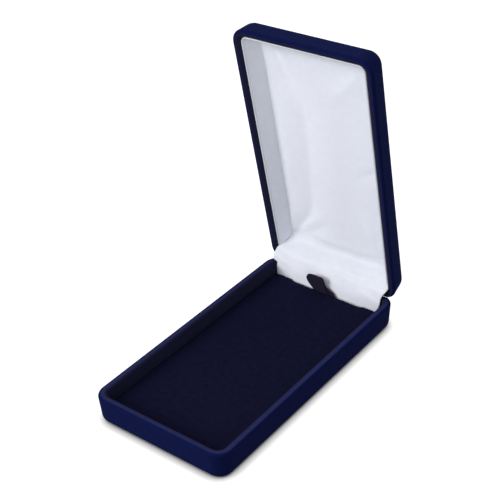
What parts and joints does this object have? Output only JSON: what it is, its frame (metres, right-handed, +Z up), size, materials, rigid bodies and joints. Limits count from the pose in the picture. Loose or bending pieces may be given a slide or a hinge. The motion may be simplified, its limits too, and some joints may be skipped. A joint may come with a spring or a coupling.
{
  "type": "medal presentation case",
  "caption": "Hinged flocked presentation case for a medal, with a satin-lined lid and a lift-out pad with a ribbon tab.",
  "frame": {"origin": "middle of the flat underside of the base", "axes": "+Z up, +Y towards the hinge, +X to the right seen from the front; the lid stands open at rest"},
  "size_m": [0.0618, 0.1235, 0.1237],
  "materials": {
    "flocked_shell": "moulded plastic with short navy flock",
    "hinge_steel": "bright zinc plated sheet",
    "spring_steel": "blued spring strip",
    "white_satin": "white satin",
    "grey_card": "grey board",
    "wadding": "soft white wadding and foam",
    "navy_velour": "short navy velour",
    "navy_ribbon": "dark navy ribbon"
  },
  "bodies": {
    "base": {"base_shell": "flocked_shell", "hinge_base_leaf": "hinge_steel", "hinge_pin": "hinge_steel", "hinge_spring": "spring_steel", "hinge_base_rivets": "hinge_steel", "satin_web": "white_satin"},
    "lid": {"lid_shell": "flocked_shell", "hinge_lid_leaf": "hinge_steel", "hinge_lid_rivets": "hinge_steel", "lid_panel_card": "grey_card", "lid_panel_wadding": "wadding", "lid_panel_satin": "white_satin", "lid_wall_card_left": "grey_card", "lid_wall_satin_left": "white_satin", "lid_wall_card_right": "grey_card", "lid_wall_satin_right": "white_satin", "lid_wall_card_front": "grey_card", "lid_wall_satin_front": "white_satin"},
    "pad": {"pad_board": "grey_card", "pad_foam": "wadding", "pad_cover": "navy_velour", "ribbon_tab": "navy_ribbon"}
  },
  "joints": [
    {"name": "lid_hinge", "type": "hinge", "parent": "base", "child": "lid", "pos_m": [0, 0.0561, 0.0117], "axis": [1, 0, 0], "range_deg": [0, 79.5], "deforming": ["satin_web", "ribbon_tab"]},
    {"name": "pad_lift", "type": "slide", "parent": "base", "child": "pad", "axis": [0, 0, 1], "range_m": [0, 0.0055]}
  ]
}
